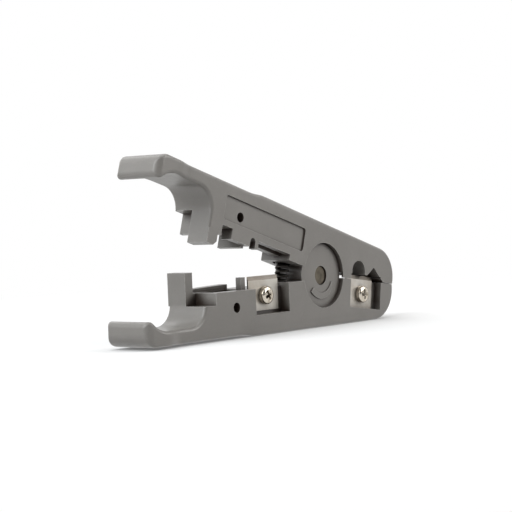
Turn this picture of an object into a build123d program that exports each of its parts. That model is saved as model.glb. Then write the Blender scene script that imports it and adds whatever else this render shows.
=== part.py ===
"""Squeeze cutter and stripper for round network cable, in millimetres.

Two moulded arms turn on a pin, held open at the left by a coil spring. Squeezing the finger ends
closes the cutter on the left of the pin and opens the stripping notches on the right of it.
X runs along the lower arm towards the stripping end, Y from the front face to the back, Z up. The
origin is under the middle of the tool, on the surface that the lower arm stands on.

Both arms are drawn in one kind of sketch plane: x is measured from the pin axis towards the
stripping end, y outwards from the closing line of the jaws, and depth from the front face.
"""
import os
from math import cos, radians, sin, tan

from build123d import *

# Whole tool
TIP_REACH = 84.4            # pin axis to the end of a finger tip
NOSE_REACH = 38.7           # pin axis to the stripping end
HALF_HEIGHT = 16.5          # closing line to the outer edge
THICKNESS = 15.0            # front face to back face
OPEN_ANGLE = 17.2           # how far the arms stand open, in degrees
SEAM_ANGLE = 7.8            # slope of the lower arm's seam face, in degrees
SEAM_GAP = 0.1              # from the seam line to each arm
FIT = 0.3                   # between pieces that move past each other
SEAT = 0.1                  # between a fixed piece and its pocket wall

# Arm outline
LOWER_NOSE_RADIUS = 10.2
UPPER_NOSE_RADIUS = 9.7
EDGE_ROUND = 1.1            # on the long outer edges
RING_FACE = 58.0            # pin axis to the straight wall of the finger ring
RING_RADIUS = 6.6
RING_FLOOR = 11.4           # closing line to the deepest part of the ring
RING_HOLLOW = 9.4           # finger tip's end to where the ring's floor begins to rise
TIP_TOP = 8.75              # closing line to where the inner side rounds over at the tip
TIP_CREST = 3.0             # length of that rounding
TIP_OUTER_ROUND = 4.2
TIP_FLARE = 1.0             # the finger tips are this much wider, each side
TIP_CORNER = 3.0            # corners of the finger tips, seen from above
TIP_CORNER_PAST = 0.3       # the corners' arcs would end this far past the tip
FLARE_BACK = 15.5           # finger tip's end to where it begins to widen
FLARE_RUN = 7.0             # over this length
WAIST_DEPTH = 0.7           # the outer edge lies in by this much along the fingers
WAIST_END = 42.0
WAIST_RAMP = 8.0

# Lap joint
HUB_RADIUS = 10.1
HUB_RECESS = 1.4            # front disc lies this far under the front face
BACK_RECESS = 3.0           # back disc lies this far under the back face
PIN_DIAMETER = 6.1
PIN_CLEARANCE = 0.05
PIN_END_DEPTH = 0.45        # pin end below the front disc
PIN_HEAD_DIAMETER = 9.4
PIN_HEAD_HEIGHT = 0.9

# Lower jaw
JAW_TOP = 2.1               # lower arm's top face, below the closing line
CHAMBER_FLOOR = 1.1         # the same beside the spring
CUTTER_WALL = 18.5          # pin axis to the end of the cutter's pocket
POST_HEIGHT = 4.1           # above the closing line
POST_WIDTH = 3.3
POST_DEPTH = 8.0            # front face to the post's front
CATCH_FLOOR = 5.8           # pocket in front of the post, below the closing line
CATCH_END = 53.4
CATCH_SIDE = 3.0            # the pocket's cut runs this far past the ring's wall
STUB_PLACE = 37.3
STUB_DEPTH = 2.9            # front face to the stub
STUB_WIDTH = 1.9
STUB_LENGTH = 2.1
STUB_HEIGHT = 1.6
RAIL_DEPTH = 11.8           # front face to the rail at the back
RAIL_LOW = 1.3
RAIL_HIGH = 0.65
RAIL_END = 34.4
TROUGH_START = 51.5         # trough between the front wall and the rail
TROUGH_END = 36.2
TROUGH_FRONT = 3.2
TROUGH_BACK = 11.2
TROUGH_FLOOR = 3.9

# Upper jaw
JAW_DROP = 0.5              # upper arm's lower face, past the closing line
CHAMBER_ROOF = 0.3
CHAMBER_WALL = 18.7
BLOCK_DROP = 4.2            # block that drops into the lower arm's pocket
BLOCK_END = 55.0
BLOCK_CUT = 1.3             # its sloping lower corner
FRONT_WALL = 2.3
ANVIL_DEPTH = 4.0           # front face to the wall that the blade passes
ANVIL_WIDTH = 2.6
ANVIL_DROP = 1.5            # its lower edge, above the closing line
GROOVE_START = 46.8         # the blade's groove stops beside the notch
GROOVE_TOP = 6.2
CHANNEL_TOP = 4.6           # room for the cable behind the anvil
RIB_PLACE = 39.6
RIB_WIDTH = 1.4
RIB_DROP = 1.2
RIB_BACK = 11.4
LEDGE_HEIGHT = 5.8          # roof of the room for the post
HEEL_PLACE = 53.9
HEEL_END = 52.6
NOTCH_START = 52.2
NOTCH_END = 47.4
NOTCH_TOP = 2.7
SLOT_START = 34.6
SLOT_TOP = 2.1
PIP_WIDTH = 2.5             # small arch over the stub
PIP_TOP = 2.5
PANEL_START = 52.2
PANEL_END = 12.7
PANEL_LOW = 4.5
PANEL_HIGH = 12.0
PANEL_DEPTH = 0.6
PANEL_CORNER = 0.9

# Hanging holes
HOLE_PLACE = 44.1
HOLE_HEIGHT = 7.1
HOLE_DIAMETER = 3.1

# Blades and their fasteners
BLADE_WIDTH = 14.4
BLADE_HEIGHT = 10.7
BLADE_THICKNESS = 0.5
BEVEL_HEIGHT = 1.3
EDGE_THICKNESS = 0.05
SCREW_DROP = 0.75           # screw's axis below the middle of the blade
CUTTER_SHIFT = 0.4          # and right of it
STRIP_SHIFT = 0.9
CUTTER_FLOOR = 10.1         # pocket floor below the closing line
CUTTER_DEPTH = 3.5
CUTTER_START = 34.9
CUTTER_EDGE = 1.6           # cutting edge above the closing line
STRIP_START = 14.8
STRIP_END = 31.9
STRIP_DEPTH = 2.5
STRIP_EDGE = 1.6            # stripping edge above the seam
SCREW_DIAMETER = 3.0
SCREW_LENGTH = 7.0          # under the head
HEAD_DIAMETER = 6.0
HEAD_HEIGHT = 2.1
HEAD_EDGE = 0.8             # the head's sloping rim
CROSS_LENGTH = 3.2
CROSS_WIDTH = 0.75
CROSS_DEPTH = 1.3
INSERT_DIAMETER = 4.2
INSERT_LENGTH = 5.0
INSERT_INSET = 1.2          # insert below the pocket floor
THREAD_FIT = 0.02

# Stripping notches
ARCH_PLACE = 18.9           # along the seam from the pin axis
ARCH_WIDTH = 7.2
ARCH_TOP = 6.3
VEE_PLACE = 27.4
VEE_TOP = 4.7
VEE_HALF_ANGLE = 51.0
RELIEF_END = 31.6
RELIEF_TOP = 1.8            # the blade's edge stands in this space
SKIN = 0.7                  # thin front wall beside the relief

# Spring
SPRING_PLACE = 13.6         # pin axis to the spring, along the closing line
SPRING_DEPTH = 6.5
SPRING_DIAMETER = 4.6
WIRE_DIAMETER = 0.85
WIRE_SIDES = 6
SPRING_TURNS = 9
SPRING_SEAT = 0.05          # from the wire to each pocket's floor
SPRING_FLOOR = 5.1          # closing line to the floor of each arm's spring pocket
SPRING_PLAY = 0.55          # around the spring, because it leans in its pockets

# Moulded arrow on the front disc
ARROW_INNER = 5.6
ARROW_OUTER = 7.5
ARROW_HEIGHT = 0.35
ARROW_BLUNT = -50.0         # angles from straight down, towards the stripping end
ARROW_NARROWS = 20.0
ARROW_POINT = 66.0

half_thickness = THICKNESS / 2
nose_centre = NOSE_REACH - UPPER_NOSE_RADIUS
nose_drop = HALF_HEIGHT - UPPER_NOSE_RADIUS
turned_centre = nose_centre * cos(radians(OPEN_ANGLE)) + nose_drop * sin(radians(OPEN_ANGLE))
turned_nose = turned_centre + UPPER_NOSE_RADIUS
pivot_x = (TIP_REACH - max(NOSE_REACH, turned_nose)) / 2
pivot_z = HALF_HEIGHT
front_y = -half_thickness
recess_radius = HUB_RADIUS + FIT
upper_seam_angle = OPEN_ANGLE - SEAM_ANGLE
outer_edge = HALF_HEIGHT - WAIST_DEPTH
strip_floor = BLADE_HEIGHT - STRIP_EDGE + SEAT
relief_start = HUB_RADIUS + SEAT
insert_radius = INSERT_DIAMETER / 2
screw_radius = SCREW_DIAMETER / 2
bisector = radians(OPEN_ANGLE / 2)
pocket_radius = SPRING_DIAMETER / 2 + SPRING_PLAY
spring_pocket_x = -SPRING_PLACE - SPRING_FLOOR * tan(bisector) + CHAMBER_FLOOR * tan(bisector) / 2

hole_x = SEAT + BLADE_WIDTH / 2
hole_y = BLADE_HEIGHT / 2 + SCREW_DROP
cutter_hole = (-CUTTER_START + hole_x + CUTTER_SHIFT, hole_y - CUTTER_EDGE)
strip_hole = (STRIP_START + hole_x + STRIP_SHIFT, hole_y - STRIP_EDGE)

LOWER_IN = 1                # the lower arm's sketch planes look into the tool
UPPER_IN = -1               # the upper arm's sketch planes look out of it


def lower_plane(depth, turn=0.0):
    """Sketch plane of the lower arm: y is down, turned about the pin axis towards the seam."""
    return Plane(
        origin=(pivot_x, front_y + depth, pivot_z),
        x_dir=(cos(radians(turn)), 0, -sin(radians(turn))),
        z_dir=(0, 1, 0),
    )


def upper_plane(depth, turn=0.0):
    """Sketch plane of the upper arm as it stands open: y is up."""
    angle = radians(OPEN_ANGLE - turn)
    return Plane(
        origin=(pivot_x, front_y + depth, pivot_z),
        x_dir=(cos(angle), 0, -sin(angle)),
        z_dir=(0, -1, 0),
    )


def rectangle(plane, left, right, low, high, corner=0.0):
    """A rectangle between four sketch coordinates, with rounded corners if asked."""
    with BuildSketch(plane) as drawn:
        with Locations(((left + right) / 2, (low + high) / 2)):
            if corner:
                RectangleRounded(abs(right - left), abs(high - low), corner)
            else:
                Rectangle(abs(right - left), abs(high - low))
    return drawn.sketch


def disc(plane, radius, place=(0, 0)):
    """A circle in a sketch plane."""
    with BuildSketch(plane) as drawn:
        with Locations(place):
            Circle(radius)
    return drawn.sketch


def arm_profile(plane, jaw, chamber, chamber_wall, seam_angle, nose_radius):
    """Side view of an arm: finger ring and tip at the left, rounded nose at the right."""
    ring_end = -RING_FACE - RING_RADIUS
    with BuildSketch(plane) as drawn:
        with BuildLine():
            wall = Line((-RING_FACE, jaw), (-RING_FACE, RING_FLOOR - RING_RADIUS))
            ring = TangentArc(wall @ 1, (ring_end, RING_FLOOR), tangent=(0, 1))
            floor = Line(ring @ 1, (-TIP_REACH + RING_HOLLOW, RING_FLOOR))
            hollow = TangentArc(floor @ 1, (-TIP_REACH + TIP_CREST, TIP_TOP), tangent=(-1, 0))
            slope = hollow % 1
            run = TIP_CREST / abs(slope.X)
            inner = TangentArc(
                hollow @ 1, (-TIP_REACH, TIP_TOP + run * slope.Y + run), tangent=slope
            )
            end = Line(inner @ 1, (-TIP_REACH, outer_edge - TIP_OUTER_ROUND))
            outer = TangentArc(end @ 1, (-TIP_REACH + TIP_OUTER_ROUND, outer_edge), tangent=(0, 1))
            waist = Line(outer @ 1, (-WAIST_END, outer_edge))
            middle = (-WAIST_END + WAIST_RAMP / 2, HALF_HEIGHT - WAIST_DEPTH / 2)
            lift = TangentArc(waist @ 1, middle, tangent=(1, 0))
            settle = TangentArc(lift @ 1, (-WAIST_END + WAIST_RAMP, HALF_HEIGHT), tangent=lift % 1)
            back = Line(settle @ 1, (NOSE_REACH - nose_radius, HALF_HEIGHT))
            nose = TangentArc(back @ 1, (NOSE_REACH, HALF_HEIGHT - nose_radius), tangent=(1, 0))
            Polyline(
                nose @ 1,
                (NOSE_REACH, 0),
                (0, 0),
                (0, chamber),
                (-chamber_wall, chamber),
                (-chamber_wall, jaw),
                wall @ 0,
            )
        make_face()
        # the sloping seam right of the pin
        past = NOSE_REACH + 1
        with BuildLine():
            Polyline(
                (0, SEAM_GAP),
                (past, past * tan(radians(seam_angle)) + SEAM_GAP),
                (past, -1),
                (0, -1),
                close=True,
            )
        make_face(mode=Mode.SUBTRACT)
    return drawn.sketch


def plan_view(plane):
    """View from above: straight sides that swell into the finger tip."""
    wide = half_thickness + TIP_FLARE
    reach = TIP_REACH + TIP_CORNER_PAST
    flare_start = -TIP_REACH + FLARE_BACK
    with BuildSketch(plane) as drawn:
        with BuildLine():
            side = Line((NOSE_REACH + 1, half_thickness), (flare_start, half_thickness))
            halfway = (flare_start - FLARE_RUN / 2, half_thickness + TIP_FLARE / 2)
            turn_out = TangentArc(side @ 1, halfway, tangent=(-1, 0))
            swell = TangentArc(
                turn_out @ 1, (flare_start - FLARE_RUN, wide), tangent=turn_out % 1
            )
            tip = Line(swell @ 1, (-reach + TIP_CORNER, wide))
            corner = TangentArc(tip @ 1, (-reach, wide - TIP_CORNER), tangent=(-1, 0))
            Line(corner @ 1, (-reach, 0))
            mirror(about=Plane.XZ)
            Line((NOSE_REACH + 1, half_thickness), (NOSE_REACH + 1, -half_thickness))
        make_face()
    return drawn.sketch


def arm_blank(plane, into, profile, plan):
    """An arm's outer form, with its long outer edges and the finger ring's edges rounded."""
    with BuildPart() as blank:
        extrude(profile, amount=into * (THICKNESS + 2 * TIP_FLARE))
        extrude(plan, amount=HALF_HEIGHT + CATCH_END, both=True, mode=Mode.INTERSECT)
        inward = plane(0).y_dir
        rounded = []
        for edge in blank.edges():
            height = (edge @ 0.5 - plane(0).origin).dot(inward)
            along = (edge @ 0.5 - plane(0).origin).dot(plane(0).x_dir)
            flat = abs(edge.tangent_at(0.5).Y) < 0.3
            outside = height > outer_edge - 0.1 or along < -RING_FACE - 0.1
            nose = along > NOSE_REACH - UPPER_NOSE_RADIUS and height > nose_drop + 0.5
            if flat and (outside or nose):
                rounded.append(edge)
        fillet(rounded, EDGE_ROUND)
    return blank.part


def cut(shape, deep):
    """Remove a sketched shape from the part being built, by a signed depth."""
    extrude(shape, amount=deep, mode=Mode.SUBTRACT)


with BuildPart() as lower_arm:
    outline = arm_profile(
        lower_plane(-TIP_FLARE), JAW_TOP, CHAMBER_FLOOR, CUTTER_WALL, SEAM_ANGLE, LOWER_NOSE_RADIUS
    )
    below = Plane(origin=(pivot_x, 0, pivot_z), x_dir=(1, 0, 0), z_dir=(0, 0, -1))
    add(arm_blank(lower_plane, LOWER_IN, outline, plan_view(below)))

    # hub disc in the front half, and room for the other arm's disc in the back half
    cut(disc(lower_plane(0), recess_radius), HUB_RECESS)
    cut(disc(lower_plane(half_thickness - SEAT), recess_radius), half_thickness + SEAT)
    hub = disc(lower_plane(HUB_RECESS), HUB_RADIUS)
    extrude(hub, amount=half_thickness - HUB_RECESS - SEAT)
    cut(disc(lower_plane(0), PIN_DIAMETER / 2 + THREAD_FIT), half_thickness)

    # moulded arrow that shows which way to turn the tool round a cable
    with BuildSketch(lower_plane(HUB_RECESS)) as arrow:
        with BuildLine():
            rim = CenterArc((0, 0), ARROW_OUTER, 90 - ARROW_NARROWS, ARROW_NARROWS - ARROW_BLUNT)
            root = CenterArc((0, 0), ARROW_INNER, 90 - ARROW_POINT, ARROW_POINT - ARROW_BLUNT)
            TangentArc(rim @ 0, root @ 0, tangent=(rim % 0) * -1)
            Line(rim @ 1, root @ 1)
        make_face()
    extrude(arrow.sketch, amount=-ARROW_HEIGHT)

    # post at the back of the jaw, and the pocket in front of it
    post = rectangle(
        lower_plane(POST_DEPTH), -RING_FACE, -RING_FACE + POST_WIDTH, -POST_HEIGHT, CATCH_FLOOR
    )
    extrude(post, amount=THICKNESS - POST_DEPTH)
    catch = rectangle(lower_plane(0), -RING_FACE - CATCH_SIDE, -CATCH_END, 0, CATCH_FLOOR)
    cut(catch, POST_DEPTH)

    # guide stub, trough, and the rising rail along the back
    trough = rectangle(lower_plane(TROUGH_FRONT), -TROUGH_START, -TROUGH_END, 0, TROUGH_FLOOR)
    cut(trough, TROUGH_BACK - TROUGH_FRONT)
    stub = rectangle(
        lower_plane(STUB_DEPTH),
        -STUB_PLACE - STUB_WIDTH / 2,
        -STUB_PLACE + STUB_WIDTH / 2,
        -STUB_HEIGHT,
        TROUGH_FLOOR,
    )
    extrude(stub, amount=STUB_LENGTH)
    with BuildSketch(lower_plane(RAIL_DEPTH)) as rail:
        with BuildLine():
            Polyline(
                (-RING_FACE + POST_WIDTH / 2, JAW_TOP + 1),
                (-RING_FACE + POST_WIDTH / 2, RAIL_LOW),
                (-RAIL_END, RAIL_HIGH),
                (-RAIL_END, JAW_TOP + 1),
                close=True,
            )
        make_face()
    extrude(rail.sketch, amount=THICKNESS - RAIL_DEPTH)

    # pockets for the two blades, and the bores of the threaded inserts behind them
    cut(
        rectangle(lower_plane(0), -CUTTER_START, -CUTTER_WALL, -1, CUTTER_FLOOR),
        CUTTER_DEPTH,
    )
    strip_pocket = rectangle(lower_plane(0, SEAM_ANGLE), STRIP_START, STRIP_END, -1, strip_floor)
    cut(strip_pocket, STRIP_DEPTH)
    for plane, place in (
        (lower_plane(CUTTER_DEPTH), cutter_hole),
        (lower_plane(STRIP_DEPTH, SEAM_ANGLE), strip_hole),
    ):
        cut(disc(plane, screw_radius + SEAT, place), INSERT_INSET + INSERT_LENGTH + 1)
        inner = plane.offset(INSERT_INSET)
        cut(disc(inner, insert_radius + THREAD_FIT, place), INSERT_LENGTH + THREAD_FIT)

    # spring pocket and hanging hole
    with BuildSketch(Plane(
        origin=(pivot_x, front_y + SPRING_DEPTH, pivot_z), x_dir=(1, 0, 0), z_dir=(0, 0, -1)
    )) as pocket:
        with Locations((spring_pocket_x, 0)):
            Circle(pocket_radius)
    cut(pocket.sketch, SPRING_FLOOR)
    hanging = disc(lower_plane(0), HOLE_DIAMETER / 2, (-HOLE_PLACE, HOLE_HEIGHT))
    cut(hanging, THICKNESS)

with BuildPart() as upper_arm:
    outline = arm_profile(
        upper_plane(-TIP_FLARE),
        -JAW_DROP,
        CHAMBER_ROOF,
        CHAMBER_WALL,
        upper_seam_angle,
        UPPER_NOSE_RADIUS,
    )
    open_angle = radians(OPEN_ANGLE)
    above = Plane(
        origin=(pivot_x, 0, pivot_z),
        x_dir=(cos(open_angle), 0, -sin(open_angle)),
        z_dir=(sin(open_angle), 0, cos(open_angle)),
    )
    add(arm_blank(upper_plane, UPPER_IN, outline, plan_view(above)))

    # hub disc in the back half, and room for the other arm's disc in the front half
    cut(disc(upper_plane(0), recess_radius), UPPER_IN * (half_thickness + SEAT))
    cut(disc(upper_plane(THICKNESS), recess_radius), -UPPER_IN * BACK_RECESS)
    hub = disc(upper_plane(half_thickness + SEAT), HUB_RADIUS)
    extrude(hub, amount=UPPER_IN * (half_thickness - SEAT - BACK_RECESS))
    cut(disc(upper_plane(half_thickness), PIN_DIAMETER / 2 + PIN_CLEARANCE), UPPER_IN * half_thickness)

    # block at the front that drops into the lower arm's pocket, room for the post behind it
    with BuildSketch(upper_plane(0)) as block:
        with BuildLine():
            Polyline(
                (-RING_FACE, JAW_DROP),
                (-RING_FACE, -BLOCK_DROP),
                (-BLOCK_END, -BLOCK_DROP),
                (-BLOCK_END + BLOCK_CUT, -BLOCK_DROP + BLOCK_CUT),
                (-BLOCK_END + BLOCK_CUT, JAW_DROP),
                close=True,
            )
        make_face()
    extrude(block.sketch, amount=UPPER_IN * (POST_DEPTH - FIT))
    cut(
        rectangle(upper_plane(POST_DEPTH - FIT), -RING_FACE - 2, -HEEL_PLACE, -BLOCK_DROP, LEDGE_HEIGHT),
        UPPER_IN * THICKNESS,
    )

    # groove for the blade, wall that it passes, and room for the cable behind that wall
    cut(
        rectangle(upper_plane(FRONT_WALL), -GROOVE_START, -CHAMBER_WALL, -BLOCK_DROP, GROOVE_TOP),
        UPPER_IN * (ANVIL_DEPTH - FRONT_WALL),
    )
    cut(
        rectangle(upper_plane(ANVIL_DEPTH), -HEEL_END, -CHAMBER_WALL, -BLOCK_DROP, ANVIL_DROP),
        UPPER_IN * ANVIL_WIDTH,
    )
    cut(
        rectangle(
            upper_plane(ANVIL_DEPTH + ANVIL_WIDTH), -HEEL_END, -CHAMBER_WALL, -BLOCK_DROP, CHANNEL_TOP
        ),
        UPPER_IN * THICKNESS,
    )
    cut(
        rectangle(upper_plane(RIB_BACK), -CHAMBER_WALL, -HUB_RADIUS, -BLOCK_DROP, CHANNEL_TOP),
        UPPER_IN * THICKNESS,
    )
    rib = rectangle(
        upper_plane(FRONT_WALL - 0.1),
        -RIB_PLACE - RIB_WIDTH / 2,
        -RIB_PLACE + RIB_WIDTH / 2,
        -RIB_DROP,
        GROOVE_TOP,
    )
    extrude(rib, amount=UPPER_IN * (RIB_BACK - FRONT_WALL))

    # notches in the front wall
    cut(
        rectangle(upper_plane(0), -NOTCH_START, -NOTCH_END, -BLOCK_DROP, NOTCH_TOP),
        UPPER_IN * (ANVIL_DEPTH + ANVIL_WIDTH),
    )
    cut(
        rectangle(upper_plane(0), -SLOT_START, -CHAMBER_WALL, -BLOCK_DROP, SLOT_TOP),
        UPPER_IN * FRONT_WALL,
    )
    with BuildSketch(upper_plane(0)) as pip:
        with Locations((-STUB_PLACE, PIP_TOP - PIP_WIDTH / 2)):
            Circle(PIP_WIDTH / 2)
        with Locations((-STUB_PLACE, (PIP_TOP - PIP_WIDTH / 2 - BLOCK_DROP) / 2)):
            Rectangle(PIP_WIDTH, PIP_TOP - PIP_WIDTH / 2 + BLOCK_DROP)
    cut(pip.sketch, UPPER_IN * (ANVIL_DEPTH + ANVIL_WIDTH))

    # recessed panel
    panel = rectangle(
        upper_plane(0), -PANEL_START, -PANEL_END, PANEL_LOW, PANEL_HIGH, PANEL_CORNER
    )
    cut(panel, UPPER_IN * PANEL_DEPTH)

    # stripping notches and the space that the blade's edge stands in
    seam = upper_plane(0, upper_seam_angle)
    with BuildSketch(seam) as arch:
        with Locations((ARCH_PLACE, ARCH_TOP - ARCH_WIDTH / 2)):
            Circle(ARCH_WIDTH / 2)
        with Locations((ARCH_PLACE, (ARCH_TOP - ARCH_WIDTH / 2 - 1) / 2)):
            Rectangle(ARCH_WIDTH, ARCH_TOP - ARCH_WIDTH / 2 + 1)
    cut(arch.sketch, UPPER_IN * THICKNESS)
    vee_reach = (VEE_TOP + 1) * tan(radians(VEE_HALF_ANGLE))
    with BuildSketch(seam) as vee:
        with BuildLine():
            Polyline(
                (VEE_PLACE, VEE_TOP),
                (VEE_PLACE - vee_reach, -1),
                (VEE_PLACE + vee_reach, -1),
                close=True,
            )
        make_face()
    cut(vee.sketch, UPPER_IN * THICKNESS)
    cut(
        rectangle(upper_plane(SKIN, upper_seam_angle), relief_start, RELIEF_END, -1, RELIEF_TOP),
        UPPER_IN * THICKNESS,
    )
    cut(
        rectangle(upper_plane(0, upper_seam_angle), STRIP_START, RELIEF_END, -1, RELIEF_TOP),
        UPPER_IN * STRIP_DEPTH,
    )

    # spring pocket and hanging hole
    with BuildSketch(Plane(above.origin, x_dir=above.x_dir, z_dir=above.z_dir)) as pocket:
        with Locations((spring_pocket_x, front_y + SPRING_DEPTH)):
            Circle(pocket_radius)
    cut(pocket.sketch, SPRING_FLOOR)
    cut(disc(upper_plane(0), HOLE_DIAMETER / 2, (-HOLE_PLACE, HOLE_HEIGHT)), UPPER_IN * THICKNESS)

with BuildPart() as pivot_pin:
    back_face = THICKNESS - BACK_RECESS
    extrude(
        disc(lower_plane(HUB_RECESS + PIN_END_DEPTH), PIN_DIAMETER / 2),
        amount=back_face - HUB_RECESS - PIN_END_DEPTH + SEAT,
    )
    extrude(disc(lower_plane(back_face + SEAT), PIN_HEAD_DIAMETER / 2), amount=PIN_HEAD_HEIGHT)
    chamfer(pivot_pin.edges().filter_by(GeomType.CIRCLE).sort_by(Axis.Y)[-1], PIN_HEAD_HEIGHT / 3)
    chamfer(pivot_pin.edges().filter_by(GeomType.CIRCLE).sort_by(Axis.Y)[0], 0.2)


def blade(plane, left, edge, hole):
    """Flat steel blade with one bevelled edge and a screw hole, flat on its pocket's floor."""
    with BuildPart() as steel:
        shape = rectangle(plane, left, left + BLADE_WIDTH, -edge, BLADE_HEIGHT - edge)
        extrude(shape, amount=-BLADE_THICKNESS)
        corner = plane.from_local_coords((left, 0, 0))
        end_view = Plane(corner, x_dir=plane.z_dir * -1, z_dir=plane.x_dir)
        with BuildSketch(end_view) as bevel:
            with BuildLine():
                Polyline(
                    (BLADE_THICKNESS, -edge + BEVEL_HEIGHT),
                    (BLADE_THICKNESS, -edge),
                    (EDGE_THICKNESS, -edge),
                    close=True,
                )
            make_face()
        extrude(bevel.sketch, amount=BLADE_WIDTH, mode=Mode.SUBTRACT)
        cut(disc(plane, screw_radius + SEAT, hole), -BLADE_THICKNESS)
    return steel.part


def screw(plane, place):
    """Pan head screw with a cross recess; the plane is the face that its head sits on."""
    with BuildPart() as fastener:
        extrude(disc(plane, screw_radius, place), amount=SCREW_LENGTH)
        chamfer(fastener.edges().filter_by(GeomType.CIRCLE).sort_by(Axis.Y)[-1], 0.3)
        extrude(disc(plane, HEAD_DIAMETER / 2, place), amount=-HEAD_HEIGHT)
        rim = fastener.edges().filter_by(GeomType.CIRCLE).sort_by(Axis.Y)[0]
        chamfer(rim, HEAD_EDGE)
        with BuildSketch(plane.offset(-HEAD_HEIGHT)) as cross:
            with Locations(place):
                Rectangle(CROSS_LENGTH, CROSS_WIDTH)
                Rectangle(CROSS_WIDTH, CROSS_LENGTH)
        extrude(cross.sketch, amount=CROSS_DEPTH, mode=Mode.SUBTRACT)
    return fastener.part


def insert(plane, place):
    """Threaded brass sleeve moulded into the lower arm."""
    with BuildPart() as sleeve:
        extrude(disc(plane, insert_radius, place), amount=INSERT_LENGTH)
        cut(disc(plane, screw_radius + THREAD_FIT, place), INSERT_LENGTH)
    return sleeve.part


cutter_bed = lower_plane(CUTTER_DEPTH)
strip_bed = lower_plane(STRIP_DEPTH, SEAM_ANGLE)
cutter_blade = blade(cutter_bed, -CUTTER_START + SEAT, CUTTER_EDGE, cutter_hole)
stripping_blade = blade(strip_bed, STRIP_START + SEAT, STRIP_EDGE, strip_hole)
cutter_screw = screw(cutter_bed.offset(-BLADE_THICKNESS), cutter_hole)
stripping_screw = screw(strip_bed.offset(-BLADE_THICKNESS), strip_hole)
cutter_insert = insert(cutter_bed.offset(INSERT_INSET), cutter_hole)
stripping_insert = insert(strip_bed.offset(INSERT_INSET), strip_hole)

with BuildPart() as return_spring:
    reach = SPRING_PLACE / cos(bisector)
    middle = Vector(
        pivot_x - reach * cos(bisector), front_y + SPRING_DEPTH, pivot_z + reach * sin(bisector)
    )
    lean = Vector(sin(bisector), 0, cos(bisector))
    to_floor = (SPRING_FLOOR + reach * sin(bisector)) / cos(bisector)
    tilt_room = SPRING_DIAMETER / 2 * sin(bisector)
    half_length = to_floor - tilt_room - WIRE_DIAMETER / 2 - SPRING_SEAT
    coil_radius = (SPRING_DIAMETER - WIRE_DIAMETER) / 2
    with BuildLine() as coil:
        Helix(
            pitch=2 * half_length / SPRING_TURNS,
            height=2 * half_length,
            radius=coil_radius,
            center=middle - lean * half_length,
            direction=lean,
        )
    with BuildSketch(Plane(origin=coil.line @ 0, z_dir=coil.line % 0)) as wire:
        RegularPolygon(WIRE_DIAMETER / 2, WIRE_SIDES)
    sweep(wire.sketch, path=coil.line, is_frenet=True)

pieces = {
    "lower_arm": lower_arm.part,
    "upper_arm": upper_arm.part,
    "pivot_pin": pivot_pin.part,
    "return_spring": return_spring.part,
    "cutter_blade": cutter_blade,
    "cutter_screw": cutter_screw,
    "cutter_insert": cutter_insert,
    "stripping_blade": stripping_blade,
    "stripping_screw": stripping_screw,
    "stripping_insert": stripping_insert,
}
os.makedirs("parts", exist_ok=True)
for name, piece in pieces.items():
    piece.label = name
    export_step(piece, f"parts/{name}.step")
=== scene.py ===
"""Looks of the network cable stripper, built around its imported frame, in metres."""
from math import cos, pi, radians, sin

import bpy
from mathutils import Matrix, Vector


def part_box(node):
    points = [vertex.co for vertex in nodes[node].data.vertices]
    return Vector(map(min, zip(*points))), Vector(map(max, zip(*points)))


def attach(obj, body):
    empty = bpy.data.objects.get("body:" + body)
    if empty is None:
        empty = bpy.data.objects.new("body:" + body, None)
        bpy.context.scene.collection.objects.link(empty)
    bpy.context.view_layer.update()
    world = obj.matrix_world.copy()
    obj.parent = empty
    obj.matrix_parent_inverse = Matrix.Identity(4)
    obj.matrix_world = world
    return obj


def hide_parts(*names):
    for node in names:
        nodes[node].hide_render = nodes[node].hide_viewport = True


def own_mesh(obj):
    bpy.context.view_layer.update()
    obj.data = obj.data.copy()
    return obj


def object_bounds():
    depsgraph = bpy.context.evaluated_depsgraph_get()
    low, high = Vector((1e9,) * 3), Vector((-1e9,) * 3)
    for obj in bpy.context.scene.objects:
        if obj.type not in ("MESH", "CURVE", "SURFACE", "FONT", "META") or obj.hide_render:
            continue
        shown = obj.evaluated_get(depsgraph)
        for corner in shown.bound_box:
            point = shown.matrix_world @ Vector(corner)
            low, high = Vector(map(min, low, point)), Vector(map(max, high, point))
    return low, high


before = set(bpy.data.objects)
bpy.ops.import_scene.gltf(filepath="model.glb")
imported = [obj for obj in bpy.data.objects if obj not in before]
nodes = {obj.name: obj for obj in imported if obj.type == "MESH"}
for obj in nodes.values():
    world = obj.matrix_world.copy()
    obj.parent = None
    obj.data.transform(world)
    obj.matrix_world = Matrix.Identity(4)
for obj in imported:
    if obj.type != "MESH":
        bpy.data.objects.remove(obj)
cad_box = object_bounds()
MM = 0.001
WHITE = (1.0, 1.0, 1.0, 1.0)

# Camera: the photograph's viewing angle, taken to the pivot's place on the front face
AZIMUTH = radians(-50.72)
ELEVATION = radians(1.83)
ROLL = radians(-2.32)
CAMERA_DISTANCE = 0.513
CLIP_START = 0.01
CLIP_END = 20
IMAGE_SIDE = 512
FOCAL_PIXELS = 1600
SENSOR_WIDTH = 36.0
PIVOT_PIXEL = (324.15, 275.27)
pin_low, pin_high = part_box("pivot_pin")
PIVOT = (pin_low + pin_high) / 2
FACE_Y = -7.5 * MM


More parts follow.
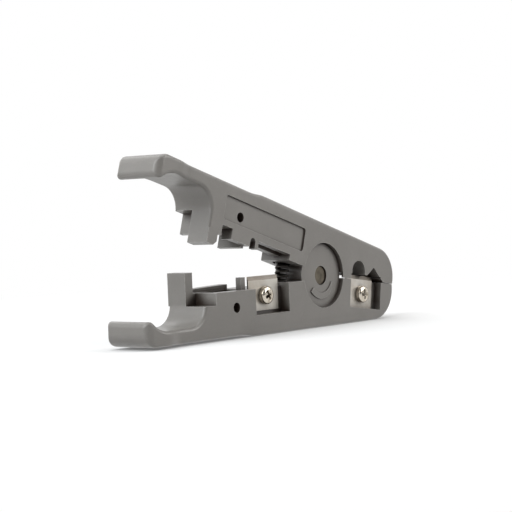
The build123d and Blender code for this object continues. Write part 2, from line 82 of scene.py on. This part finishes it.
def add_camera():
    """Camera that puts the pivot on its pixel, seen from the photograph's angle."""
    back = Vector((
        sin(AZIMUTH) * cos(ELEVATION),
        -cos(AZIMUTH) * cos(ELEVATION),
        sin(ELEVATION),
    ))
    right = (-back).cross(Vector((0, 0, 1))).normalized()
    up = right.cross(-back)
    rolled_right = cos(ROLL) * right + sin(ROLL) * up
    rolled_up = -sin(ROLL) * right + cos(ROLL) * up
    across = CAMERA_DISTANCE * (PIVOT_PIXEL[0] - IMAGE_SIDE / 2) / FOCAL_PIXELS
    down = CAMERA_DISTANCE * (PIVOT_PIXEL[1] - IMAGE_SIDE / 2) / FOCAL_PIXELS
    target = Vector((PIVOT.x, FACE_Y, PIVOT.z))
    place = target - rolled_right * across + rolled_up * down + back * CAMERA_DISTANCE
    data = bpy.data.cameras.new("camera")
    data.sensor_width = SENSOR_WIDTH
    data.lens = FOCAL_PIXELS * SENSOR_WIDTH / IMAGE_SIDE
    data.clip_start = CLIP_START
    data.clip_end = CLIP_END
    camera = bpy.data.objects.new("camera", data)
    bpy.context.scene.collection.objects.link(camera)
    turn = Matrix((rolled_right, rolled_up, back)).transposed()
    camera.matrix_world = Matrix.Translation(place) @ turn.to_4x4()
    bpy.context.scene.camera = camera


# Node trees: a mix node has sockets for each kind of value, under the same names
COLOUR_MIX_INPUTS = (0, 6, 7)
COLOUR_MIX_OUTPUT = 2
NUMBER_MIX_INPUTS = (0, 2, 3)
NUMBER_MIX_OUTPUT = 0
NOISE_RANGE = (0.3, 0.7)
EDGE_LEAN = 0.86
EDGE_SAMPLES = 6
HOLLOW_SAMPLES = 8


class Tree:
    """A node tree with short ways to add and join nodes."""

    def __init__(self, owner):
        owner.use_nodes = True
        self.tree = owner.node_tree

    def join(self, value, socket):
        """Link another node's output to a socket, or set the socket's own value."""
        if isinstance(value, bpy.types.NodeSocket):
            self.tree.links.new(value, socket)
        else:
            socket.default_value = value

    def add(self, kind, links=None, **settings):
        """Add a node; links maps an input's name or number to a value or an output."""
        node = self.tree.nodes.new(kind)
        for key, value in settings.items():
            setattr(node, key, value)
        for key, value in (links or {}).items():
            self.join(value, node.inputs[key])
        return node

    def ramp(self, value, low, high, to_low=0.0, to_high=1.0, shape="LINEAR"):
        """Map a value from one range to another, held at the ends."""
        links = {
            "Value": value,
            "From Min": low, "From Max": high,
            "To Min": to_low, "To Max": to_high,
        }
        return self.add("ShaderNodeMapRange", links, interpolation_type=shape).outputs[0]

    def math(self, operation, first, second=0.0):
        """A math node on two values or outputs."""
        return self.add("ShaderNodeMath", {0: first, 1: second}, operation=operation).outputs[0]

    def vector_math(self, operation, *vectors):
        """The single number that a vector math node makes of its vectors."""
        links = dict(enumerate(vectors))
        return self.add("ShaderNodeVectorMath", links, operation=operation).outputs["Value"]

    def mix(self, factor, first, second):
        """Mix two colours."""
        links = dict(zip(COLOUR_MIX_INPUTS, (factor, first, second)))
        return self.add("ShaderNodeMix", links, data_type="RGBA").outputs[COLOUR_MIX_OUTPUT]

    def mix_numbers(self, factor, first, second):
        """Mix two numbers."""
        links = dict(zip(NUMBER_MIX_INPUTS, (factor, first, second)))
        return self.add("ShaderNodeMix", links).outputs[NUMBER_MIX_OUTPUT]

    def mix_shaders(self, factor, first, second):
        """Mix two shaders."""
        return self.add("ShaderNodeMixShader", {0: factor, 1: first, 2: second}).outputs[0]


class Material(Tree):
    """A material, with what its look is most often made from."""

    def __init__(self, name):
        self.material = bpy.data.materials.new(name)
        super().__init__(self.material)
        self.shader = self.tree.nodes["Principled BSDF"]
        self.output = self.tree.nodes["Material Output"]
        self.place = self.add("ShaderNodeTexCoord").outputs["Object"]

    def noise(self, scale, detail, stretch=None):
        """Noise in the object's own space; scale is in features per metre."""
        place = self.place
        if stretch:
            place = self.add("ShaderNodeMapping", {"Vector": place, "Scale": stretch}).outputs[0]
        links = {"Vector": place, "Scale": scale, "Detail": detail}
        return self.add("ShaderNodeTexNoise", links).outputs["Fac"]

    def bump(self, height, strength, distance, normal=None):
        """A bump node; distance is in metres."""
        links = {"Height": height, "Strength": strength, "Distance": distance}
        if normal:
            links["Normal"] = normal
        return self.add("ShaderNodeBump", links).outputs[0]

    def set(self, **inputs):
        """Set or link the shader's own inputs; underscores stand for spaces."""
        for key, value in inputs.items():
            self.join(value, self.shader.inputs[key.replace("_", " ")])

    def edge_mask(self, radius):
        """Bright on convex and concave edges, from how far the rounded normal leans."""
        links = {"Radius": radius}
        rounded = self.add("ShaderNodeBevel", links, samples=EDGE_SAMPLES).outputs[0]
        flat = self.add("ShaderNodeNewGeometry").outputs["Normal"]
        return self.ramp(self.vector_math("DOT_PRODUCT", rounded, flat), 1.0, EDGE_LEAN)

    def painted_shade_mask(self, distance, open_share, closed_share):
        """Painted shade: bright in corners and hollows and next to other things, where little
        light comes in, as ambient occlusion finds them.
        """
        links = {"Distance": distance}
        found = self.add("ShaderNodeAmbientOcclusion", links, samples=HOLLOW_SAMPLES)
        return self.ramp(found.outputs["AO"], open_share, closed_share)


def srgb(red, green, blue):
    """A linear colour from 0 to 255 display values."""
    def linear(v):
        v /= 255
        return v / 12.92 if v <= 0.04045 else ((v + 0.055) / 1.055) ** 2.4
    return (linear(red), linear(green), linear(blue), 1.0)


# Colours
PLASTIC_DEEP = srgb(111, 108, 104)
PLASTIC_PALE = srgb(120, 117, 113)
# Painted highlight for the plastic's edges, and painted shade for its hollows
PLASTIC_EDGE_HIGHLIGHT = srgb(172, 170, 166)
PLASTIC_PAINTED_SHADE = srgb(44, 34, 27)
STEEL_CLEAN = srgb(190, 186, 179)
STEEL_FILMED = srgb(170, 163, 153)
# Painted shade for the blade's bevel and hollows, and for the metals' hollows
STEEL_BEVEL_SHADE = srgb(72, 65, 58)
STEEL_PAINTED_SHADE = srgb(70, 62, 54)
METAL_PAINTED_SHADE = srgb(44, 38, 32)
NICKEL_PALE = srgb(208, 200, 187)
NICKEL_DARK = srgb(166, 156, 140)
PIN_PALE = srgb(94, 88, 78)
PIN_DARK = srgb(72, 67, 58)
BRASS_PALE = srgb(212, 178, 108)
BRASS_DARK = srgb(182, 146, 84)
SPRING_DARK = srgb(38, 36, 34)
SPRING_PALE = srgb(62, 58, 54)

# The most that a painted edge highlight's or a hollow's painted shade colour covers
EDGE_HIGHLIGHT_SHARE = 0.6
PLASTIC_SHADE_SHARE = 0.97
STEEL_SHADE_SHARE = 0.7
METAL_SHADE_SHARE = 0.75

# Heights above the floor between which the painted shade in the plastic's hollows sets in
DARK_FROM = 2.0 * MM
DARK_FULL = 6.0 * MM


def plastic():
    """Grey moulded plastic: fine grain on slow waves, painted highlights on its edges, painted
    shade in its hollows.
    """
    made = Material("grey_plastic")
    patches = made.ramp(made.noise(90, 3), *NOISE_RANGE, to_high=0.6)
    speckle = made.ramp(made.noise(2600, 2), *NOISE_RANGE, to_high=0.4)
    base = made.mix(made.math("ADD", patches, speckle), PLASTIC_DEEP, PLASTIC_PALE)
    highlight_breakup = made.ramp(made.noise(700, 4), 0.34, 0.56)
    # Painted highlight: a paler colour along the edges, broken up by noise
    edge_highlight = made.math("MULTIPLY", made.edge_mask(0.35 * MM), highlight_breakup)
    base = made.mix(made.math("MULTIPLY", edge_highlight, EDGE_HIGHLIGHT_SHARE), base, PLASTIC_EDGE_HIGHLIGHT)
    # Painted shade: darker brown in hollows and next to other parts, from ambient occlusion,
    # faded out near the floor
    painted_shade = made.painted_shade_mask(5.0 * MM, open_share=0.87, closed_share=0.48)
    painted_shade = made.math("MULTIPLY", painted_shade, PLASTIC_SHADE_SHARE)
    position = made.add("ShaderNodeNewGeometry").outputs["Position"]
    height = made.add("ShaderNodeSeparateXYZ", {0: position}).outputs["Z"]
    painted_shade = made.math("MULTIPLY", painted_shade, made.ramp(height, DARK_FROM, DARK_FULL))
    made.set(Base_Color=made.mix(painted_shade, base, PLASTIC_PAINTED_SHADE))
    made.set(Roughness=made.ramp(made.noise(420, 3), *NOISE_RANGE, 0.28, 0.37))
    grain = made.bump(made.noise(4200, 3), 0.1, 0.06 * MM)
    waves = made.bump(made.noise(150, 2), 0.22, 0.22 * MM, grain)
    made.set(Normal=waves, Specular_IOR_Level=0.5, IOR=1.5)
    return made.material


def blade_steel():
    """Ground blade steel: lines along the blade, a faint brown film, painted shade on the bevel
    and in hollows.
    """
    made = Material("blade_steel")
    lines = made.noise(900, 4, stretch=(0.05, 1.0, 1.0))
    film = made.ramp(made.noise(170, 3), 0.42, 0.68)
    flat = made.mix(film, STEEL_CLEAN, STEEL_FILMED)
    facing = made.add("ShaderNodeTexCoord").outputs["Normal"]
    upward = made.add("ShaderNodeSeparateXYZ", {0: facing}).outputs["Z"]
    # Painted shade: a darker colour on the bevel, picked out by how far its faces tilt up or down
    bevel = made.ramp(made.math("ABSOLUTE", upward), 0.2, 0.35)
    # Painted shade in hollows, such as beside the pocket's wall and under the screw
    painted_shade = made.painted_shade_mask(3.5 * MM, open_share=0.92, closed_share=0.4)
    painted_shade = made.math("MULTIPLY", painted_shade, STEEL_SHADE_SHARE)
    tone = made.mix(bevel, flat, STEEL_BEVEL_SHADE)
    made.set(Base_Color=made.mix(painted_shade, tone, STEEL_PAINTED_SHADE), Metallic=0.7)
    made.set(Roughness=made.ramp(lines, *NOISE_RANGE, 0.3, 0.44))
    made.set(Normal=made.bump(lines, 0.2, 0.02 * MM))
    return made.material


def bright_metal(name, pale, dark, smooth, rough):
    """Plated or turned metal with handling marks, a fine grain and painted shade in its hollows.
    """
    made = Material(name)
    smear = made.ramp(made.noise(500, 4), 0.35, 0.7)
    # Painted shade in the cross recess and in other hollows
    painted_shade = made.painted_shade_mask(1.8 * MM, open_share=0.85, closed_share=0.25)
    metal_shade = made.math("MULTIPLY", painted_shade, METAL_SHADE_SHARE)
    made.set(Base_Color=made.mix(metal_shade, made.mix(smear, pale, dark), METAL_PAINTED_SHADE), Metallic=1.0)
    fine = made.noise(2600, 3)
    made.set(Roughness=made.ramp(fine, *NOISE_RANGE, smooth, rough))
    made.set(Normal=made.bump(fine, 0.12, 0.02 * MM))
    return made.material


def spring_steel():
    """Oiled black spring wire."""
    made = Material("spring_steel")
    made.set(Base_Color=made.mix(made.noise(900, 3), SPRING_DARK, SPRING_PALE), Metallic=0.85)
    made.set(Roughness=made.ramp(made.noise(1600, 2), *NOISE_RANGE, 0.3, 0.45))
    return made.material


# Rounded edges
ARM_EDGE = 0.18 * MM
PIN_EDGE = 0.12 * MM
SCREW_EDGE = 0.05 * MM
NODE_EDGE_ANGLE = radians(28)
SCREW_EDGE_ANGLE = radians(30)
EDGE_SEGMENTS = 2
WELD_DISTANCE = 0.002 * MM
FLAT_ANGLE = radians(0.6)
NORMAL_WEIGHT = 60


def dress(name, material):
    """Give a carried-over node its material."""
    for slot in nodes[name].material_slots:
        slot.material = material


def add_bevel(piece, width, angle):
    """Round the edges of a piece where its faces meet at more than an angle."""
    bevel = piece.modifiers.new("bevel", "BEVEL")
    bevel.width = width
    bevel.segments = EDGE_SEGMENTS
    bevel.limit_method = "ANGLE"
    bevel.angle_limit = angle
    return bevel


def soften(name, width):
    """Round a node's sharp edges by a small real radius."""
    piece = nodes[name]
    weld = piece.modifiers.new("weld", "WELD")
    weld.merge_threshold = WELD_DISTANCE
    flatten = piece.modifiers.new("flatten", "DECIMATE")
    flatten.decimate_type = "DISSOLVE"
    flatten.angle_limit = FLAT_ANGLE
    bevel = add_bevel(piece, width, NODE_EDGE_ANGLE)
    bevel.miter_outer = "MITER_ARC"
    shade = piece.modifiers.new("shade", "WEIGHTED_NORMAL")
    shade.weight = NORMAL_WEIGHT


def mesh_piece(name, points, faces, material):
    """A new smooth piece from points and faces, riding on the lower body."""
    mesh = bpy.data.meshes.new(name)
    mesh.from_pydata([tuple(point) for point in points], [], faces)
    mesh.update()
    for face in mesh.polygons:
        face.use_smooth = True
    mesh.materials.append(material)
    piece = bpy.data.objects.new(name, mesh)
    bpy.context.scene.collection.objects.link(piece)
    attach(piece, "lower_body")
    return piece


def band_faces(rings, count):
    """Quads between rings of points, and a face over each end."""
    faces = []
    for ring in range(rings - 1):
        for i in range(count):
            j = (i + 1) % count
            a, b = ring * count, (ring + 1) * count
            faces.append((a + i, a + j, b + j, b + i))
    faces.append(tuple(reversed(range(count))))
    faces.append(tuple(range((rings - 1) * count, rings * count)))
    return faces


# Coil spring: its ends are closed and ground flat
SPRING_LEAN = radians(8.6)
WIRE_RADIUS = 0.425 * MM
COIL_RADIUS = 1.875 * MM
SPRING_HALF = 6.42 * MM
GROUND_SHARE = 0.35
GROUND_HALF = SPRING_HALF + WIRE_RADIUS * GROUND_SHARE
SPRING_TURNS = 9
CLOSED_TURNS = 1.0
CLOSED_PITCH = 0.87 * MM
OPEN_PITCH = 2 * (SPRING_HALF - CLOSED_TURNS * CLOSED_PITCH) / (SPRING_TURNS - 2 * CLOSED_TURNS)
WIRE_POINTS = 12
STEPS_PER_TURN = 36
UPPER_BODY_TURN = radians(17.0)


def rise(turn):
    """How far along its axis the coil has risen after some turns."""
    if turn <= CLOSED_TURNS:
        return CLOSED_PITCH * turn
    if turn >= SPRING_TURNS - CLOSED_TURNS:
        return 2 * SPRING_HALF - CLOSED_PITCH * (SPRING_TURNS - turn)
    return CLOSED_PITCH * CLOSED_TURNS + OPEN_PITCH * (turn - CLOSED_TURNS)


def add_spring(material):
    """The return spring, in its place between the arms, riding on the lower body."""
    low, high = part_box("return_spring")
    middle = (low + high) / 2
    axis = Vector((sin(SPRING_LEAN), 0, cos(SPRING_LEAN)))
    side = Vector((cos(SPRING_LEAN), 0, -sin(SPRING_LEAN)))
    across = axis.cross(side)
    path = []
    steps = SPRING_TURNS * STEPS_PER_TURN
    for step in range(steps + 1):
        turn = step / STEPS_PER_TURN
        angle = 2 * pi * turn
        path.append(
            middle
            + side * (COIL_RADIUS * cos(angle))
            + across * (COIL_RADIUS * sin(angle))
            + axis * (rise(turn) - SPRING_HALF)
        )
    points = []
    for step, place in enumerate(path):
        ahead = (path[min(step + 1, steps)] - path[max(step - 1, 0)]).normalized()
        outward = (place - middle) - axis * (place - middle).dot(axis)
        outward = (outward - ahead * outward.dot(ahead)).normalized()
        other = ahead.cross(outward)
        for i in range(WIRE_POINTS):
            angle = 2 * pi * i / WIRE_POINTS
            point = place + (outward * cos(angle) + other * sin(angle)) * WIRE_RADIUS
            height = (point - middle).dot(axis)
            point -= axis * (height - max(-GROUND_HALF, min(GROUND_HALF, height)))
            points.append(point)
    faces = band_faces(len(path), WIRE_POINTS)
    piece = mesh_piece("coil_spring", points, faces, material)
    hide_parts("return_spring")
    top = middle + axis * SPRING_HALF
    pressed = PIVOT + Matrix.Rotation(-UPPER_BODY_TURN, 3, "Y") @ (top - PIVOT)
    pressed.y = top.y
    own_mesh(piece)


# Pan head screws with a tapered cross recess. The head's profile is in shares of its radius
# and height. The crown runs in from the last of it to the recess's mouth. The mouth's reach and
# half width are in mm, and so are each lower ring's, which ends with its share of the height.
HEAD_RADIUS = 2.78 * MM
HEAD_HEIGHT = 2.1 * MM
HEAD_PROFILE = (
    (0.97, 0.0), (1.0, 0.03), (1.0, 0.3), (1.0, 0.56), (0.992, 0.64), (0.968, 0.72),
    (0.925, 0.79), (0.86, 0.85), (0.78, 0.895), (0.7, 0.925),
)
CROWN_STEPS = (0.35, 0.7, 1.0)
CROSS_REACH = 1.68
CROSS_HALF_WIDTH = 0.50
CROSS_RINGS = ((1.52, 0.37, 0.84), (1.26, 0.32, 0.6), (1.02, 0.27, 0.42), (0.76, 0.25, 0.26))
SHANK_RADIUS = 1.5 * MM
SHANK_LENGTH = 7.0 * MM
SHANK_CHAMFER = 0.3 * MM
ARM_STEPS = 4
CORNER_STEPS = 2
SCREW_TURNS = {"cutter_screw": radians(25), "stripping_screw": 0.0}


def cross_outline(reach, half_width):
    """Points round a cross, the same count for any size."""
    points = []
    corners = [
        Vector((half_width, -half_width)), Vector((reach, -half_width)),
        Vector((reach, half_width)), Vector((half_width, half_width)),
    ]
    for quarter in range(4):
        turn = Matrix.Rotation(quarter * pi / 2, 2)
        for start, stop, steps in zip(corners, corners[1:], (ARM_STEPS, CORNER_STEPS, ARM_STEPS)):
            for step in range(steps):
                points.append(turn @ start.lerp(stop, step / steps))
    return points


def add_screw(node, material, turn):
    """A screw in place of a node; turn is how its cross is turned."""
    low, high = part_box(node)
    centre = (low + high) / 2
    seat = low.y + HEAD_HEIGHT
    outline = cross_outline(1.0, CROSS_HALF_WIDTH / CROSS_REACH)
    directions = [point.normalized() for point in outline]
    shank = (
        (SHANK_RADIUS - SHANK_CHAMFER, -SHANK_LENGTH),
        (SHANK_RADIUS, -(SHANK_LENGTH - SHANK_CHAMFER)),
        (SHANK_RADIUS, 0.0),
    )
    head = [(HEAD_RADIUS * share, height * HEAD_HEIGHT) for share, height in HEAD_PROFILE]
    rings = []
    for radius, height in (*shank, *head):
        rings.append([(d * radius, height) for d in directions])
    mouth = cross_outline(CROSS_REACH * MM, CROSS_HALF_WIDTH * MM)
    last_share, last_height = HEAD_PROFILE[-1]
    crown_radius = HEAD_RADIUS * last_share
    for step in CROWN_STEPS:
        ring = []
        for d, inner in zip(directions, mouth):
            point = (d * crown_radius).lerp(inner, step)
            share = min(1.0, point.length / crown_radius)
            height = 1.0 - (1.0 - last_height) * share ** 2
            ring.append((point, height * HEAD_HEIGHT))
        rings.append(ring)
    for reach, half_width, height in CROSS_RINGS:
        outline = cross_outline(reach * MM, half_width * MM)
        rings.append([(point, height * HEAD_HEIGHT) for point in outline])
    spin = Matrix.Rotation(turn, 2)
    points = []
    for ring in rings:
        for flat, height in ring:
            x, z = spin @ flat
            points.append(Vector((centre.x + x, seat - height, centre.z + z)))
    faces = band_faces(len(rings), len(directions))
    piece = mesh_piece(node + "_head", points, faces, material)
    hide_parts(node)
    add_bevel(piece, SCREW_EDGE, SCREW_EDGE_ANGLE)


# Floor: its half side and the reaches in metres, its colours, and the veil's strengths, which
# drop near the tool as a painted shadow
FLOOR_HALF = 6.0
FLOOR_FELT = (0.62, 0.62, 0.62, 1.0)
FLOOR_SEEN = (0.6, 0.6, 0.6, 1.0)
SHADE_REACH = 0.12
VEIL_OPEN = 0.32
VEIL_CLOSED = 0.12
WHITE_FROM = 0.1
WHITE_FULL = 0.3

# World: the direction of the dark studio, how nearly a reflection points there, and levels
STUDIO_DARK = (0.1, -1.0, 0.1)
DARK_START = 0.45
DARK_END = 0.9
DARK_LEVEL = 0.12
FILL = 0.15

# Soft boxes: name, direction seen from the tool, distance, side, watts, colour
SOFTBOXES = (
    ("left_box", (-0.78, 0.15, 0.55), 0.8, 0.8, 7.8, (0.95, 0.98, 1.0)),
    ("front_box", (0.55, -0.7, 0.42), 0.9, 0.6, 5.0, (1.0, 0.985, 0.96)),
    ("back_box", (0.15, 0.9, 0.4), 0.9, 0.6, 2.2, (1.0, 1.0, 1.0)),
    ("top_box", (0.1, 0.1, 1.0), 0.8, 0.7, 3.0, (1.0, 1.0, 1.0)),
)


def add_floor():
    """Pale floor that keeps the shadow near the tool, deepened there by a painted shadow, and is
    plain white further out.
    """
    mesh = bpy.data.meshes.new("floor")
    corners = [
        (-FLOOR_HALF, -FLOOR_HALF, 0), (FLOOR_HALF, -FLOOR_HALF, 0),
        (FLOOR_HALF, FLOOR_HALF, 0), (-FLOOR_HALF, FLOOR_HALF, 0),
    ]
    mesh.from_pydata(corners, [], [(0, 1, 2, 3)])
    floor = bpy.data.objects.new("floor", mesh)
    bpy.context.scene.collection.objects.link(floor)
    made = Material("floor")
    made.set(Base_Color=FLOOR_FELT, Roughness=0.9, Specular_IOR_Level=0.1)
    rays = made.add("ShaderNodeLightPath").outputs
    matt = made.add("ShaderNodeBsdfDiffuse", {"Color": FLOOR_SEEN}).outputs[0]
    # Painted shadow: the white veil dims near the tool, where ambient occlusion finds the floor
    # covered
    shade = made.painted_shade_mask(SHADE_REACH, open_share=1.0, closed_share=0.3)
    level = made.ramp(shade, 0.0, 1.0, VEIL_OPEN, VEIL_CLOSED)
    veil = made.add("ShaderNodeEmission", {"Color": WHITE, "Strength": level}).outputs[0]
    near = made.add("ShaderNodeAddShader", {0: matt, 1: veil}).outputs[0]
    glow = made.add("ShaderNodeEmission", {"Color": WHITE, "Strength": 1.0}).outputs[0]
    reach = made.vector_math("LENGTH", made.place)
    shown = made.mix_shaders(made.ramp(reach, WHITE_FROM, WHITE_FULL), near, glow)
    felt = made.mix_shaders(rays["Is Glossy Ray"], made.shader.outputs[0], glow)
    blend = made.mix_shaders(rays["Is Camera Ray"], felt, shown)
    made.join(blend, made.output.inputs["Surface"])
    mesh.materials.append(made.material)


def add_world():
    """White to the eye, soft fill light, and in reflections darker toward the front."""
    world = bpy.data.worlds.new("studio")
    made = Tree(world)
    background = made.tree.nodes["Background"]
    rays = made.add("ShaderNodeLightPath").outputs
    direction = made.add("ShaderNodeTexCoord").outputs["Generated"]
    toward = made.vector_math("DOT_PRODUCT", direction, Vector(STUDIO_DARK).normalized())
    mirrored = made.ramp(toward, DARK_START, DARK_END, 1.0, DARK_LEVEL, shape="SMOOTHSTEP")
    lit = made.mix_numbers(rays["Is Glossy Ray"], FILL, mirrored)
    seen = made.mix_numbers(rays["Is Camera Ray"], lit, 1.0)
    made.join(seen, background.inputs["Strength"])
    made.join(WHITE, background.inputs["Color"])
    bpy.context.scene.world = world


def add_softbox(name, toward, distance, side, watts, colour):
    """A square area light, given by the direction it stands in, seen from the tool."""
    data = bpy.data.lights.new(name, "AREA")
    data.shape = "SQUARE"
    data.size = side
    data.energy = watts
    data.color = colour
    lamp = bpy.data.objects.new(name, data)
    bpy.context.scene.collection.objects.link(lamp)
    direction = Vector(toward).normalized()
    middle = (cad_box[0] + cad_box[1]) / 2
    lamp.location = middle + direction * distance
    lamp.rotation_mode = "QUATERNION"
    lamp.rotation_quaternion = direction.to_track_quat("Z", "Y")


add_camera()
grey = plastic()
steel = blade_steel()
nickel = bright_metal("nickel", NICKEL_PALE, NICKEL_DARK, smooth=0.12, rough=0.24)
pin_metal = bright_metal("dark_pin", PIN_PALE, PIN_DARK, smooth=0.34, rough=0.5)
brass = bright_metal("brass", BRASS_PALE, BRASS_DARK, smooth=0.25, rough=0.4)
dress("lower_arm", grey)
dress("upper_arm", grey)
dress("pivot_pin", pin_metal)
for blade in ("cutter_blade", "stripping_blade"):
    dress(blade, steel)
for sleeve in ("cutter_insert", "stripping_insert"):
    dress(sleeve, brass)
soften("lower_arm", ARM_EDGE)
soften("upper_arm", ARM_EDGE)
soften("pivot_pin", PIN_EDGE)
add_spring(spring_steel())
for screw, screw_turn in SCREW_TURNS.items():
    add_screw(screw, nickel, screw_turn)
add_floor()
add_world()
for softbox in SOFTBOXES:
    add_softbox(*softbox)
bpy.context.scene.view_settings.view_transform = "Standard"
